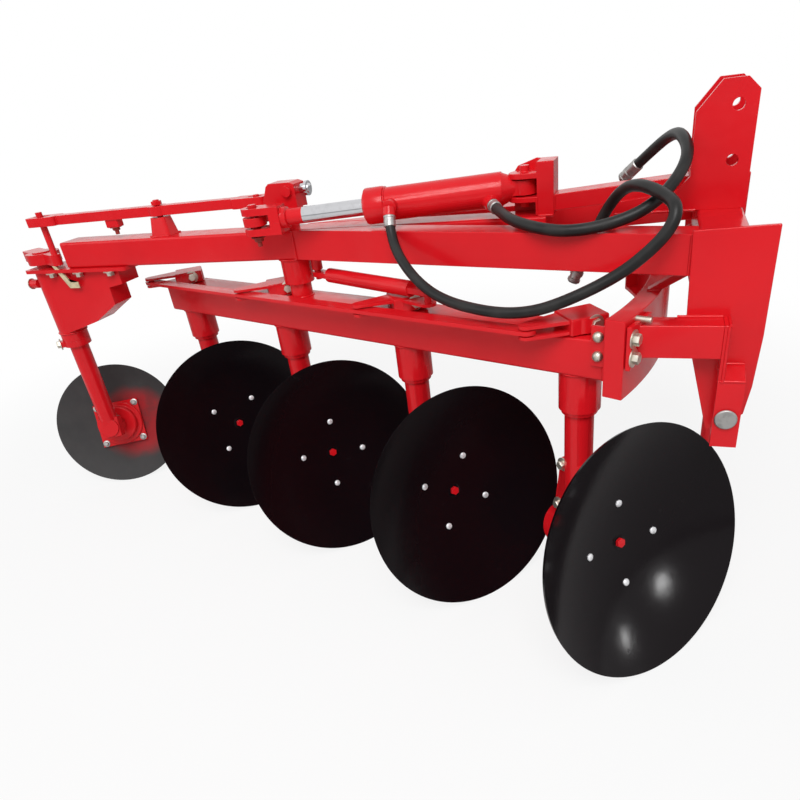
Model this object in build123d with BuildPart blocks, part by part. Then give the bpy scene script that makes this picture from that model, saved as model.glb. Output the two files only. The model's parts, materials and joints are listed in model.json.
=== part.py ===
from build123d import *
from math import atan, atan2, cos, degrees, hypot, radians, sin, tan
import os

# Reversible mounted disc plough, in millimetres.
# X points forward, the way it is pulled, Y to the left and Z up from the ground.
# While it is drawn, X and Y are zero on the axis about which the disc beam swings.

# Discs
disc_diameter = 660
disc_thickness = 7
disc_dish = 99
disc_height_tilt = 15.2
disc_azimuth = -40
disc_spacing = 533
first_disc_station = -625
disc_count = 4
axle_to_rim = 261
hub_flange_diameter = 262
hub_flange_thickness = 12
hub_neck_diameter = 110
hub_spindle_diameter = 50
bearing_diameter = 126
bearing_back = 74
running_gap = 5

# Swing of the disc beam and turn of its legs
beam_rest_angle = -18.5
swing_range = 37
leg_rest_angle = disc_azimuth - beam_rest_angle

# Disc beam
disc_beam_width = 120
disc_beam_height = 100
disc_beam_bottom = 747
disc_beam_wall = 8
disc_beam_tail = -700
slide_block_inner = 1060
slide_block_outer = 1106
sleeve_diameter = 106
sleeve_bottom = 640
collar_diameter = 92
collar_height = 12

# Legs, cranks and the bars that turn them
leg_diameter = 75
leg_foot_top = 480
foot_thickness = 58
crank_length = 140
crank_rest_angle = -145
crank_hub_diameter = 104
prong_thickness = 8
tie_bar_thickness = 10
tie_bar_width = 44
crank_gap = 4
pin_diameter = 20
drag_arm_length = 120
drag_link_diameter = 44
drag_eye_thickness = 16
drag_eye_diameter = 36
pin_clearance = 0.3
drag_drift = 0.6
bearing_clearance = 0.05

# Main frame
beam_width = 100
beam_height = 88
beam_bottom = 972
beam_wall = 8
beam_tail = -905
beam_nose = 800
pivot_tube_diameter = 96
shaft_diameter = 70
rail_width = 80
rail_start = 35
cross_rear = 1165
cross_depth = 100
plate_inner = 329
plate_thickness = 12

# Headstock and hitch
mast_gap = 124
mast_plate = 16
mast_top = 1330
mast_front = 1268
top_link_x = 1228
top_link_heights = (1165, 1278)
top_link_hole = 25.5
lower_pin_x = 1255
lower_pin_z = 670
lower_pin_diameter = 28
lower_pin_head = 48
clevis_gap = 52
outer_plate_thickness = 10
guide_bar_height = 75
guide_bar_width = 60
guide_bar_bottom = 812

# Parking stand on the left
stand_x = 1298
stand_y = 470
stand_pivot_z = 830
stand_diameter = 36
stand_foot_diameter = 90
stand_ear = 10

# Arc guide at the front end of the disc beam
guide_inner = 1072
guide_outer = 1120
guide_bottom = 722
guide_height = 186
guide_wall = 10
guide_end_angle = 23.1

# Cylinder
cylinder_rear_x = 738
cylinder_rear_z = 1130
barrel_diameter = 88
barrel_front = 428
barrel_back = 60
rod_diameter = 45
cylinder_pin_diameter = 25
eye_drift = 5
lever_thickness = 25
lever_middle = 1107
lever_arm = 134.6
lever_rest_angle = -103.3
lever_tail = 125.5

# Rocker bar and furrow wheel
rocker_x = -476
rocker_post_top = 1118
rocker_bar_width = 40
rocker_bar_height = 30
steer_x = -1058
steer_arm = 126.2
steer_rest_angle = -24.33
steer_pin_diameter = 22
shank_diameter = 70
housing_diameter = 100
housing_bottom = 690
wheel_diameter = 522
wheel_azimuth = -57.4
wheel_tilt = 18
wheel_offset = 130
wheel_thickness = 8
wheel_dish = 34

# Hoses
hose_diameter = 27
coupler_diameter = 34
coupler_length = 36
port_diameter = 38
elbow_reach = 71.3

# Sizes worked out from those above
beam_top = beam_bottom + beam_height
beam_middle = beam_bottom + beam_height / 2
disc_beam_top = disc_beam_bottom + disc_beam_height
disc_radius = disc_diameter / 2
rim_height = disc_radius * cos(radians(disc_height_tilt))
sphere_radius = (disc_radius**2 + disc_dish**2) / (2 * disc_dish)
leg_axis_height = rim_height - axle_to_rim * sin(radians(disc_height_tilt))
stations = [first_disc_station + i * disc_spacing for i in range(disc_count)]
crank_base = disc_beam_top + 5
tie_bar_bottom = crank_base + prong_thickness + crank_gap
upper_prong = tie_bar_bottom + tie_bar_thickness + crank_gap
crank_top = upper_prong + prong_thickness
pivot_tube_bottom = crank_top + 6
lever_bottom = lever_middle - lever_thickness / 2
lever_top = lever_middle + lever_thickness / 2
leg_turn = 2 * abs(disc_azimuth) - swing_range


def around(radius, angle):
    """The plan point at this radius and angle from the swing axis."""
    return (radius * cos(radians(angle)), radius * sin(radians(angle)))


def aimed_plane(point, azimuth, elevation):
    """A plane at the point whose normal has this azimuth and elevation."""
    flat = cos(radians(elevation))
    normal = (flat * cos(radians(azimuth)), flat * sin(radians(azimuth)), sin(radians(elevation)))
    across = (-sin(radians(azimuth)), cos(radians(azimuth)), 0)
    return Plane(origin=point, x_dir=across, z_dir=normal)


def upright_plane(point, azimuth):
    """A vertical plane whose own X runs level at this azimuth and whose own Y is up."""
    level = (cos(radians(azimuth)), sin(radians(azimuth)), 0)
    normal = (sin(radians(azimuth)), -cos(radians(azimuth)), 0)
    return Plane(origin=point, x_dir=level, z_dir=normal)


beam_plane = Plane(origin=(0, 0, 0), x_dir=(*around(1, beam_rest_angle), 0), z_dir=(0, 0, 1))
finished = {}


def finish(piece, label):
    """Labels a finished piece and keeps it for the export."""
    piece.part.label = label
    finished[label] = piece.part


# Main beam with the tube that carries the swing shaft
with BuildPart() as main_beam:
    with BuildSketch(Plane(origin=(beam_tail, 0, beam_middle), x_dir=(0, 1, 0), z_dir=(1, 0, 0))):
        RectangleRounded(beam_width, beam_height, 8)
    extrude(amount=beam_nose - beam_tail)
    with BuildSketch(Plane(origin=(beam_tail + beam_wall, 0, beam_middle), x_dir=(0, 1, 0), z_dir=(1, 0, 0))):
        Rectangle(beam_width - 2 * beam_wall, beam_height - 2 * beam_wall)
    extrude(amount=beam_nose - beam_tail - 2 * beam_wall, mode=Mode.SUBTRACT)
    with BuildSketch(Plane.XY.offset(pivot_tube_bottom)):
        Circle(pivot_tube_diameter / 2)
    extrude(amount=beam_bottom - pivot_tube_bottom + 1)
    with BuildSketch(Plane.XY.offset(beam_bottom)):
        Circle(pivot_tube_diameter / 2 - beam_wall)
    extrude(amount=beam_height)
    with BuildSketch(Plane.XY.offset(pivot_tube_bottom)):
        Circle(shaft_diameter / 2 + bearing_clearance)
    extrude(amount=beam_top - pivot_tube_bottom, mode=Mode.SUBTRACT)
finish(main_beam, "main_beam")

# Rails that spread from the main beam to the side plates
beam_side = beam_width / 2
rail_slope = (plate_inner - beam_side) / (cross_rear - rail_start)
rail_inner_start = rail_start + rail_width / sin(atan(rail_slope))


def rail_outer(x):
    """Distance of a rail's outer face from the middle at this x."""
    return beam_side + (x - rail_start) * rail_slope


rail_inner_end = beam_side + (cross_rear - rail_inner_start) * rail_slope
for side, name in ((-1, "rail_right"), (1, "rail_left")):
    with BuildPart() as rail:
        with BuildSketch(Plane.XY.offset(beam_bottom)):
            with BuildLine():
                Polyline(
                    (rail_start, side * beam_side),
                    (cross_rear, side * rail_outer(cross_rear)),
                    (cross_rear, side * rail_inner_end),
                    (rail_inner_start, side * beam_side),
                    close=True,
                )
            make_face()
        extrude(amount=beam_height)
        with BuildSketch(Plane.XY.offset(beam_bottom + beam_wall)):
            with BuildLine():
                Polyline(
                    (rail_start + 3 * rail_width / 2, side * (beam_side + beam_wall)),
                    (cross_rear - beam_wall, side * (rail_outer(cross_rear - beam_wall) - beam_wall)),
                    (cross_rear - beam_wall, side * (rail_inner_end + beam_wall)),
                    (rail_inner_start + beam_wall, side * (beam_side + 2 * beam_wall)),
                    close=True,
                )
            make_face()
        extrude(amount=beam_height - 2 * beam_wall, mode=Mode.SUBTRACT)
    finish(rail, name)

# Cross tube of the headstock
cross_front = cross_rear + cross_depth
with BuildPart() as cross_tube:
    cross_plane = Plane(origin=((cross_rear + cross_front) / 2, -plate_inner, beam_middle), x_dir=(1, 0, 0), z_dir=(0, 1, 0))
    with BuildSketch(cross_plane):
        RectangleRounded(cross_depth, beam_height, 8)
        Rectangle(cross_depth - 2 * beam_wall, beam_height - 2 * beam_wall, mode=Mode.SUBTRACT)
    extrude(amount=2 * plate_inner)
finish(cross_tube, "cross_tube")

# Mast: two cheeks with a bridge between them
mast_rear = 1142
cheek_foot_rear = 972
cheek_foot_top = 1096
mast_inner = mast_gap / 2
with BuildPart() as mast:
    for side in (-1, 1):
        start = side * (mast_inner + mast_plate / 2) + mast_plate / 2
        with BuildSketch(Plane(origin=(0, start, 0), x_dir=(1, 0, 0), z_dir=(0, -1, 0))):
            with BuildLine():
                Polyline(
                    (cheek_foot_rear, beam_top),
                    (mast_front, beam_top),
                    (mast_front, mast_top - 26),
                    (mast_front - 26, mast_top),
                    (mast_rear + 50, mast_top),
                    (mast_rear, mast_top - 60),
                    (mast_rear, cheek_foot_top + 40),
                    (mast_rear - 30, cheek_foot_top + 8),
                    (cheek_foot_rear, cheek_foot_top - 8),
                    close=True,
                )
            make_face()
            for height in top_link_heights:
                with Locations((top_link_x, height)):
                    Circle(top_link_hole / 2, mode=Mode.SUBTRACT)
        extrude(amount=mast_plate)
    with BuildSketch(Plane(origin=(mast_rear, 0, 0), x_dir=(0, 1, 0), z_dir=(1, 0, 0))):
        with Locations((0, (beam_top + cheek_foot_top + 40) / 2)):
            Rectangle(mast_gap, cheek_foot_top + 40 - beam_top)
    extrude(amount=mast_plate)
finish(mast, "mast")

# Bracket of the cylinder's rear eye
ear_thickness = 14
ear_half_width = 42
ear_gap = 44
post_rear = 776
with BuildPart() as cylinder_bracket:
    with BuildSketch(Plane.XY.offset(beam_top)):
        with Locations((post_rear + 22, 0)):
            Rectangle(44, 2 * ear_half_width)
    extrude(amount=cylinder_rear_z + 62 - beam_top)
    for level in (cylinder_rear_z - ear_gap / 2 - ear_thickness, cylinder_rear_z + ear_gap / 2):
        with BuildSketch(Plane.XY.offset(level)):
            with Locations((cylinder_rear_x, 0)):
                Circle(ear_half_width)
            with Locations(((cylinder_rear_x + post_rear + 2) / 2, 0)):
                Rectangle(post_rear + 2 - cylinder_rear_x, 2 * ear_half_width)
        extrude(amount=ear_thickness)
    with BuildSketch(Plane.XY.offset(cylinder_rear_z - 52)):
        with Locations((cylinder_rear_x, 0)):
            Circle(cylinder_pin_diameter / 2)
    extrude(amount=104)
finish(cylinder_bracket, "cylinder_bracket")

# Stay from the cylinder's bracket up to the mast
stay_width = 70
stay_height = 40
with BuildPart() as stay:
    with BuildSketch(Plane(origin=(0, stay_width / 2, 0), x_dir=(1, 0, 0), z_dir=(0, -1, 0))):
        with BuildLine():
            Polyline(
                (post_rear + 44, beam_top + 10),
                (mast_rear, cheek_foot_top - 4),
                (mast_rear, cheek_foot_top + stay_height - 4),
                (post_rear + 44, beam_top + 10 + stay_height),
                close=True,
            )
        make_face()
    extrude(amount=stay_width)
finish(stay, "stay")

# Side plates, hitch clevises, pins and guide bars, right and left
outer_inner = plate_inner + plate_thickness + clevis_gap
outer_outer = outer_inner + outer_plate_thickness
bar_outer = plate_inner + plate_thickness + guide_bar_width
gusset_rear = 1229
gusset_thickness = 10
flange_thickness = 12
flange_angle = degrees(atan2(plate_inner + plate_thickness + guide_bar_width / 2, gusset_rear - 170))
flange_front = guide_outer + flange_thickness


def flange_x(y):
    """Where the flange's front face crosses this distance from the middle."""
    return (flange_front - y * sin(radians(flange_angle))) / cos(radians(flange_angle))


for side, hand in ((-1, "right"), (1, "left")):
    with BuildPart() as side_plate:
        near = side * (plate_inner + plate_thickness / 2) + plate_thickness / 2
        with BuildSketch(Plane(origin=(0, near, 0), x_dir=(1, 0, 0), z_dir=(0, -1, 0))):
            with BuildLine():
                Polyline(
                    (1150, beam_top + 11),
                    (1313, beam_top + 16),
                    (1313, 842),
                    (1307, 722),
                    (1297, 652),
                    (1222, 606),
                    (1155, 866),
                    close=True,
                )
            make_face()
            with Locations((lower_pin_x, lower_pin_z)):
                Circle(lower_pin_diameter / 2 + bearing_clearance, mode=Mode.SUBTRACT)
        extrude(amount=plate_thickness)
    finish(side_plate, f"side_plate_{hand}")

    with BuildPart() as hitch_plate:
        with BuildSketch(Plane(origin=(gusset_rear, 0, 0), x_dir=(0, side, 0), z_dir=(side, 0, 0))):
            with BuildLine():
                Polyline(
                    (outer_outer, 597),
                    (outer_outer, 759),
                    (plate_inner + plate_thickness, 779),
                    (plate_inner + plate_thickness, 767),
                    (outer_inner, 750),
                    (outer_inner, 597),
                    close=True,
                )
            make_face()
        extrude(amount=side * 56)
        with BuildSketch(Plane(origin=(gusset_rear, 0, 0), x_dir=(0, side, 0), z_dir=(side, 0, 0))):
            with BuildLine():
                Polyline(
                    (plate_inner + plate_thickness, guide_bar_bottom + guide_bar_height),
                    (bar_outer, guide_bar_bottom + guide_bar_height),
                    (bar_outer, 755),
                    (plate_inner + plate_thickness, 770),
                    close=True,
                )
            make_face()
        extrude(amount=side * gusset_thickness)
        with BuildSketch(Plane(origin=(0, side * outer_outer, 0), x_dir=(side, 0, 0), z_dir=(0, -side, 0))):
            with Locations((side * lower_pin_x, lower_pin_z)):
                Circle(lower_pin_diameter / 2 + bearing_clearance)
        extrude(amount=outer_plate_thickness, mode=Mode.SUBTRACT)
    finish(hitch_plate, f"hitch_plate_{hand}")

    with BuildPart() as lower_pin:
        with BuildSketch(Plane(origin=(lower_pin_x, side * (outer_outer + 8), lower_pin_z), x_dir=(1, 0, 0), z_dir=(0, -side, 0))):
            Circle(lower_pin_head / 2)
        extrude(amount=8)
        with BuildSketch(Plane(origin=(lower_pin_x, side * outer_outer, lower_pin_z), x_dir=(1, 0, 0), z_dir=(0, -side, 0))):
            Circle(lower_pin_diameter / 2)
        extrude(amount=outer_outer - plate_inner + 24)
    finish(lower_pin, f"lower_pin_{hand}")

    with BuildPart() as guide_bar:
        with BuildSketch(Plane.XY.offset(guide_bar_bottom)):
            with BuildLine():
                Polyline(
                    (flange_x(plate_inner + plate_thickness), side * (plate_inner + plate_thickness)),
                    (gusset_rear, side * (plate_inner + plate_thickness)),
                    (gusset_rear, side * bar_outer),
                    (flange_x(bar_outer), side * bar_outer),
                    close=True,
                )
            make_face()
        extrude(amount=guide_bar_height)
        flange_point = (*around(guide_outer, side * flange_angle), guide_bar_bottom + guide_bar_height / 2 - 4)
        with BuildSketch(aimed_plane(flange_point, side * flange_angle, 0)):
            with Locations((side * 14, 0)):
                Rectangle(112, 102)
        extrude(amount=flange_thickness)
    finish(guide_bar, f"guide_bar_{hand}")

# Parking stand, which folds back about a level pin, and its bracket on the left side plate
ear_inner = stand_diameter / 2 + 0.5
bracket_bottom = stand_pivot_z + 26
with BuildPart() as stand_bracket:
    with BuildSketch(Plane.XY.offset(bracket_bottom)):
        with Locations((stand_x, (plate_inner + plate_thickness + stand_y + ear_inner + stand_ear) / 2)):
            Rectangle(44, stand_y + ear_inner + stand_ear - plate_inner - plate_thickness)
    extrude(amount=12)
    for ear_end in (stand_y - ear_inner, stand_y + ear_inner + stand_ear):
        with BuildSketch(Plane(origin=(stand_x, ear_end, stand_pivot_z), x_dir=(1, 0, 0), z_dir=(0, -1, 0))):
            Circle(22)
            with Locations((0, 14)):
                Rectangle(44, 28)
        extrude(amount=stand_ear)
    with BuildSketch(Plane(origin=(stand_x, stand_y + 36, stand_pivot_z), x_dir=(1, 0, 0), z_dir=(0, -1, 0))):
        Circle(pin_diameter / 2)
    extrude(amount=72)
finish(stand_bracket, "stand_bracket")

with BuildPart() as parking_stand:
    with BuildSketch(Plane.XY.offset(8)):
        with Locations((stand_x, stand_y)):
            Circle(stand_diameter / 2)
    extrude(amount=stand_pivot_z + 6)
    with BuildSketch(Plane.XY):
        with Locations((stand_x + 20, stand_y)):
            Circle(stand_foot_diameter / 2)
    extrude(amount=8)
    with BuildSketch(Plane(origin=(stand_x, stand_y + stand_diameter, stand_pivot_z), x_dir=(1, 0, 0), z_dir=(0, -1, 0))):
        Circle(pin_diameter / 2 + pin_clearance)
    extrude(amount=2 * stand_diameter, mode=Mode.SUBTRACT)
finish(parking_stand, "parking_stand")

# Arc guide: a channel open to the rear, closed by an end plate at each stop
with BuildPart() as arc_guide:
    with BuildSketch(Plane.XY.offset(guide_bottom)):
        Circle(guide_outer)
        Circle(guide_inner, mode=Mode.SUBTRACT)
        with BuildLine():
            Polyline(
                (0, 0),
                around(2 * guide_outer, guide_end_angle),
                around(2 * guide_outer, -guide_end_angle),
                close=True,
            )
        make_face(mode=Mode.INTERSECT)
    extrude(amount=guide_height)
    end_plate_angle = degrees(guide_wall / guide_outer)
    with BuildSketch(Plane.XY.offset(guide_bottom + guide_wall)):
        Circle(guide_outer - guide_wall)
        Circle(guide_inner - guide_wall, mode=Mode.SUBTRACT)
        with BuildLine():
            Polyline(
                (0, 0),
                around(2 * guide_outer, guide_end_angle - end_plate_angle),
                around(2 * guide_outer, end_plate_angle - guide_end_angle),
                close=True,
            )
        make_face(mode=Mode.INTERSECT)
    extrude(amount=guide_height - 2 * guide_wall, mode=Mode.SUBTRACT)
finish(arc_guide, "arc_guide")

# Hangers of the arc guide under the cross tube
hanger_thickness = 30
hanger_spacing = 400
guide_top = guide_bottom + guide_height
with BuildPart() as hangers:
    for side in (-1, 1):
        start = side * hanger_spacing / 2 + hanger_thickness / 2
        with BuildSketch(Plane(origin=(0, start, 0), x_dir=(1, 0, 0), z_dir=(0, -1, 0))):
            with BuildLine():
                Polyline(
                    (1066, guide_top),
                    (1096, guide_top),
                    (cross_rear + 42, beam_bottom),
                    (cross_rear + 2, beam_bottom),
                    close=True,
                )
            make_face()
        extrude(amount=hanger_thickness)
finish(hangers, "guide_hangers")

# Post of the rocker bar
with BuildPart() as rocker_post:
    with BuildSketch(Plane.XY.offset(beam_top)):
        with Locations((rocker_x, 0)):
            RectangleRounded(76, 60, 10)
    with BuildSketch(Plane.XY.offset(rocker_post_top)):
        with Locations((rocker_x, 0)):
            RectangleRounded(56, 46, 10)
    loft()
    with BuildSketch(Plane.XY.offset(rocker_post_top)):
        with Locations((rocker_x, 0)):
            Circle(pin_diameter / 2)
    extrude(amount=64)
    with BuildSketch(Plane.XY.offset(rocker_post_top + 48)):
        with Locations((rocker_x, 0)):
            RegularPolygon(18, 6)
    extrude(amount=12)
finish(rocker_post, "rocker_post")

# Housing of the furrow wheel's shank, under the tail of the main beam and behind the tie bar's end
housing_nose = first_disc_station - crank_length + 10
with BuildPart() as wheel_housing:
    with BuildSketch(Plane(origin=(0, 44, 0), x_dir=(1, 0, 0), z_dir=(0, -1, 0))):
        with BuildLine():
            Polyline(
                (steer_x, beam_bottom - 12),
                (-690, beam_bottom - 12),
                (-690, crank_top + 24),
                (housing_nose, crank_top + 12),
                (housing_nose, 836),
                (-870, 772),
                (-940, 752),
                (steer_x, 720),
                close=True,
            )
        make_face()
    extrude(amount=88)
    with BuildSketch(Plane.XY.offset(beam_bottom - 12)):
        with Locations(((steer_x - 690) / 2, 0)):
            RectangleRounded(-690 - steer_x + 100, 130, 12)
    extrude(amount=12)
    with BuildSketch(Plane.XY.offset(housing_bottom)):
        with Locations((steer_x, 0)):
            Circle(housing_diameter / 2)
    extrude(amount=beam_bottom - housing_bottom)
    with BuildSketch(Plane.XY.offset(housing_bottom)):
        with Locations((steer_x, 0)):
            Circle(shank_diameter / 2 + bearing_clearance)
    extrude(amount=beam_bottom - housing_bottom, mode=Mode.SUBTRACT)
finish(wheel_housing, "wheel_housing")

# Disc beam with its four sleeves and the block that slides in the arc guide
with BuildPart() as disc_beam:
    tail_plane = Plane(
        origin=(*around(disc_beam_tail, beam_rest_angle), disc_beam_bottom + disc_beam_height / 2),
        x_dir=(*around(1, beam_rest_angle + 90), 0),
        z_dir=(*around(1, beam_rest_angle), 0),
    )
    with BuildSketch(tail_plane):
        RectangleRounded(disc_beam_width, disc_beam_height, 8)
        Rectangle(disc_beam_width - 2 * disc_beam_wall, disc_beam_height - 2 * disc_beam_wall, mode=Mode.SUBTRACT)
    extrude(amount=slide_block_inner - disc_beam_tail)
    with BuildSketch(beam_plane.offset(guide_bottom + guide_wall + running_gap)):
        with Locations(((slide_block_inner + slide_block_outer) / 2, 0)):
            Rectangle(slide_block_outer - slide_block_inner, disc_beam_width)
    extrude(amount=guide_height - 2 * guide_wall - 2 * running_gap)
    for station in stations:
        with BuildSketch(beam_plane.offset(sleeve_bottom)):
            with Locations((station, 0)):
                Circle(sleeve_diameter / 2)
        extrude(amount=disc_beam_top - sleeve_bottom)
        with BuildSketch(beam_plane.offset(sleeve_bottom - collar_height)):
            with Locations((station, 0)):
                Circle(collar_diameter / 2)
        extrude(amount=collar_height)
        with BuildSketch(beam_plane.offset(sleeve_bottom - collar_height)):
            with Locations((station, 0)):
                Circle(leg_diameter / 2 + bearing_clearance)
        extrude(amount=disc_beam_top - sleeve_bottom + collar_height, mode=Mode.SUBTRACT)
    with BuildSketch(beam_plane.offset(disc_beam_bottom)):
        Circle(shaft_diameter / 2)
    extrude(amount=disc_beam_height, mode=Mode.SUBTRACT)
finish(disc_beam, "disc_beam")

# Swing shaft with the lever that the cylinder and the rocker bar work on
cylinder_pin = around(lever_arm, lever_rest_angle)
tail_pin = around(lever_tail, beam_rest_angle + 180)
lever_boss = 34
with BuildPart() as swing_shaft:
    with BuildSketch(Plane.XY.offset(disc_beam_bottom)):
        Circle(shaft_diameter / 2)
    extrude(amount=lever_top - disc_beam_bottom)
    with BuildSketch(Plane.XY.offset(lever_bottom)):
        Circle(55)
        with BuildLine():
            Polyline((0, 0), cylinder_pin, tail_pin, close=True)
        make_face()
        with Locations(cylinder_pin, tail_pin):
            Circle(lever_boss)
    extrude(amount=lever_thickness)
    with BuildSketch(Plane.XY.offset(lever_middle - 46)):
        with Locations(cylinder_pin):
            Circle(cylinder_pin_diameter / 2)
    extrude(amount=92)
    with BuildSketch(Plane.XY.offset(lever_top)):
        with Locations(tail_pin):
            Circle(pin_diameter / 2)
    extrude(amount=38)
finish(swing_shaft, "swing_shaft")

# Upright head on the lever, over the shaft
with BuildPart() as shaft_head:
    with BuildSketch(Plane(origin=(0, 32, 0), x_dir=(1, 0, 0), z_dir=(0, -1, 0))):
        with BuildLine():
            Polyline(
                (-62, lever_top),
                (62, lever_top),
                (62, 1186),
                (46, 1192),
                (-24, 1192),
                (-34, 1184),
                close=True,
            )
        make_face()
    extrude(amount=64)
    with BuildSketch(Plane(origin=(38, 44, 1168), x_dir=(1, 0, 0), z_dir=(0, -1, 0))):
        Circle(15)
    extrude(amount=88)
finish(shaft_head, "shaft_head")

# Legs, each with its crank and foot, and the discs on them
half_swing = radians(swing_range / 2)
drag_station = stations[2]
drag_out = radians(abs(disc_azimuth))
drag_pin_rest = (
    drag_station * cos(half_swing) + drag_arm_length * cos(drag_out),
    -drag_station * sin(half_swing) - drag_arm_length * sin(drag_out),
)
drag_reach = drag_station + drag_arm_length
drag_anchor_x = (drag_reach**2 - drag_pin_rest[0] ** 2 - drag_pin_rest[1] ** 2) / (2 * (drag_reach - drag_pin_rest[0]))
drag_eye_bottom = 908
for number, station in enumerate(stations, start=1):
    column = around(station, beam_rest_angle)
    tip = (column[0] + around(crank_length, crank_rest_angle)[0], column[1] + around(crank_length, crank_rest_angle)[1])
    axle = aimed_plane((*column, leg_axis_height), disc_azimuth, disc_height_tilt)
    leg_plane = Plane(origin=(*column, 0), x_dir=(*around(1, crank_rest_angle), 0), z_dir=(0, 0, 1))
    foot_plane = upright_plane((*column, 0), disc_azimuth)
    with BuildPart() as leg:
        with BuildSketch(leg_plane.offset(leg_axis_height)):
            Circle(leg_diameter / 2)
        extrude(amount=crank_top - leg_axis_height)
        with BuildSketch(leg_plane.offset(crank_base)):
            Circle(crank_hub_diameter / 2)
        extrude(amount=crank_top - crank_base)
        for level in (crank_base, upper_prong):
            with BuildSketch(leg_plane.offset(level)):
                with BuildLine():
                    Polyline((0, 45), (crank_length, 20), (crank_length, -20), (0, -45), close=True)
                make_face()
                with Locations((crank_length, 0)):
                    Circle(20)
                with Locations((crank_length, 0)):
                    Circle(pin_diameter / 2 + pin_clearance, mode=Mode.SUBTRACT)
            extrude(amount=prong_thickness)
        with BuildSketch(foot_plane.offset(-foot_thickness / 2)):
            with BuildLine():
                Polyline(
                    (-leg_diameter / 2, leg_foot_top),
                    (leg_diameter / 2, leg_foot_top),
                    (52, 400),
                    (76, 340),
                    (96, leg_axis_height + 50),
                    (60, leg_axis_height - 20),
                    (-66, leg_axis_height - 50),
                    (-60, 330),
                    (-46, 420),
                    close=True,
                )
            make_face()
        extrude(amount=foot_thickness)
        with BuildSketch(axle.offset(-bearing_back)):
            Circle(bearing_diameter / 2)
        bearing_front = axle_to_rim - disc_dish - disc_thickness - hub_flange_thickness - 22
        extrude(amount=bearing_front + bearing_back)
        with BuildSketch(axle.offset(bearing_front - 80)):
            Circle(hub_spindle_diameter / 2 + bearing_clearance)
        extrude(amount=80, mode=Mode.SUBTRACT)
        if number == 3:
            arm_plane = Plane(origin=(*column, 0), x_dir=(*around(1, disc_azimuth), 0), z_dir=(0, 0, 1))
            with BuildSketch(arm_plane.offset(upper_prong)):
                with BuildLine():
                    Polyline((0, 45), (drag_arm_length, 22), (drag_arm_length, -22), (0, -45), close=True)
                make_face()
                with Locations((drag_arm_length, 0)):
                    Circle(22)
            extrude(amount=prong_thickness)
            with BuildSketch(arm_plane.offset(upper_prong)):
                with Locations((drag_arm_length, 0)):
                    Circle(pin_diameter / 2)
            extrude(amount=drag_eye_bottom + drag_eye_thickness + 10 - upper_prong)
    finish(leg, f"leg_{number}")

    rim = axle.offset(axle_to_rim)
    back = sphere_radius + disc_thickness
    centre = sphere_radius - disc_dish
    edge_angle = degrees(atan2(disc_radius, centre))
    with BuildPart() as disc:
        with BuildSketch(Plane(origin=rim.origin, x_dir=rim.x_dir, z_dir=-rim.y_dir)):
            with BuildLine():
                hole = 21
                drop = (sphere_radius**2 - hole**2) ** 0.5
                back_drop = (back**2 - hole**2) ** 0.5
                RadiusArc((disc_radius, 0), (hole, centre - drop), sphere_radius)
                Line((hole, centre - drop), (hole, centre - back_drop))
                lip = disc_radius - 3
                RadiusArc((hole, centre - back_drop), (lip, centre - (back**2 - lip**2) ** 0.5), -back)
                Line((lip, centre - (back**2 - lip**2) ** 0.5), (disc_radius, 0))
            make_face()
        revolve(axis=Axis(rim.origin, rim.z_dir), revolution_arc=360)
    finish(disc, f"disc_{number}")

    with BuildPart() as hub:
        with BuildSketch(Plane(origin=rim.origin, x_dir=rim.x_dir, z_dir=-rim.y_dir)):
            flange_radius = hub_flange_diameter / 2
            seat_edge = centre - (back**2 - flange_radius**2) ** 0.5
            seat_hole = centre - (back**2 - hole**2) ** 0.5
            flange_back = -disc_dish - disc_thickness - hub_flange_thickness
            with BuildLine():
                Polyline((0, centre - back - hub_flange_thickness - 17), (0, 6 - disc_dish))
                Polyline((0, 6 - disc_dish), (hole, 6 - disc_dish), (hole, seat_hole))
                RadiusArc((hole, seat_hole), (flange_radius, seat_edge), -back)
                Polyline(
                    (flange_radius, seat_edge),
                    (flange_radius, seat_edge - 9),
                    (hub_neck_diameter / 2 + 12, flange_back),
                    (hub_neck_diameter / 2, flange_back),
                    (hub_neck_diameter / 2, flange_back - 17),
                    (0, flange_back - 17),
                )
            make_face()
        revolve(axis=Axis(rim.origin, rim.z_dir), revolution_arc=360)
        with BuildSketch(rim.offset(-axle_to_rim + bearing_front - 60)):
            Circle(hub_spindle_diameter / 2)
        extrude(amount=flange_back - 16 + axle_to_rim - bearing_front + 60)
        with BuildSketch(rim.offset(4 - disc_dish)):
            RegularPolygon(24, 6)
        extrude(amount=18)
    finish(hub, f"hub_{number}")

# Tie bar that turns the legs together
with BuildPart() as tie_bar:
    offset_x, offset_y = around(crank_length, crank_rest_angle - beam_rest_angle)
    with BuildSketch(beam_plane.offset(tie_bar_bottom)):
        with Locations(((stations[0] + stations[-1]) / 2 + offset_x, offset_y)):
            SlotCenterToCenter(stations[-1] - stations[0], tie_bar_width)
    extrude(amount=tie_bar_thickness)
    for station in stations:
        with BuildSketch(beam_plane.offset(crank_base)):
            with Locations((station + offset_x, offset_y)):
                Circle(pin_diameter / 2)
        extrude(amount=crank_top - crank_base)
finish(tie_bar, "tie_bar")

# Drag link and the pin under the main beam that it turns on
with BuildPart() as drag_anchor:
    with BuildSketch(Plane.XY.offset(drag_eye_bottom + drag_eye_thickness + 5)):
        with Locations((drag_anchor_x, 0)):
            Circle(17)
    extrude(amount=beam_bottom - drag_eye_bottom - drag_eye_thickness - 5)
    with BuildSketch(Plane.XY.offset(drag_eye_bottom - 10)):
        with Locations((drag_anchor_x, 0)):
            Circle(pin_diameter / 2)
    extrude(amount=drag_eye_thickness + 16)
finish(drag_anchor, "drag_anchor")

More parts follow.
